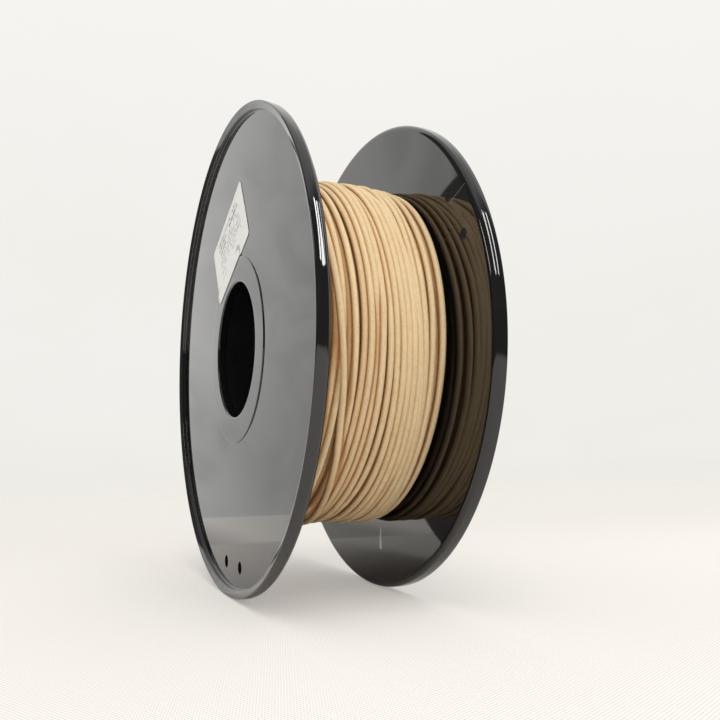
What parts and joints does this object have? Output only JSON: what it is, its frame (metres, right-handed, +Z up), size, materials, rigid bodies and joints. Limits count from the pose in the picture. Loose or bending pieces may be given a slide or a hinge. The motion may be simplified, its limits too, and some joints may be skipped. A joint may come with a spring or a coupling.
{
  "type": "filament spool",
  "caption": "Black plastic spool with two glossy flanges, wound full of tan wood-filled printing filament, with a small white label on one side.",
  "frame": {"origin": "centre of the spool, on its axis, halfway between the two flanges' outer faces", "axes": "+Y along the spool's axis, from the labelled flange to the plain one; +Z up, with the spool standing on both rims"},
  "size_m": [0.1998, 0.0694, 0.1998],
  "materials": {
    "black_plastic": "gloss",
    "hub_plastic": "satin",
    "wood_filament": "matte",
    "label_paper": "satin"
  },
  "bodies": {
    "root": {"flange_front": "black_plastic", "flange_back": "black_plastic", "hub_core": "hub_plastic", "filament_coil": "wood_filament", "label": "label_paper"}
  },
  "joints": []
}
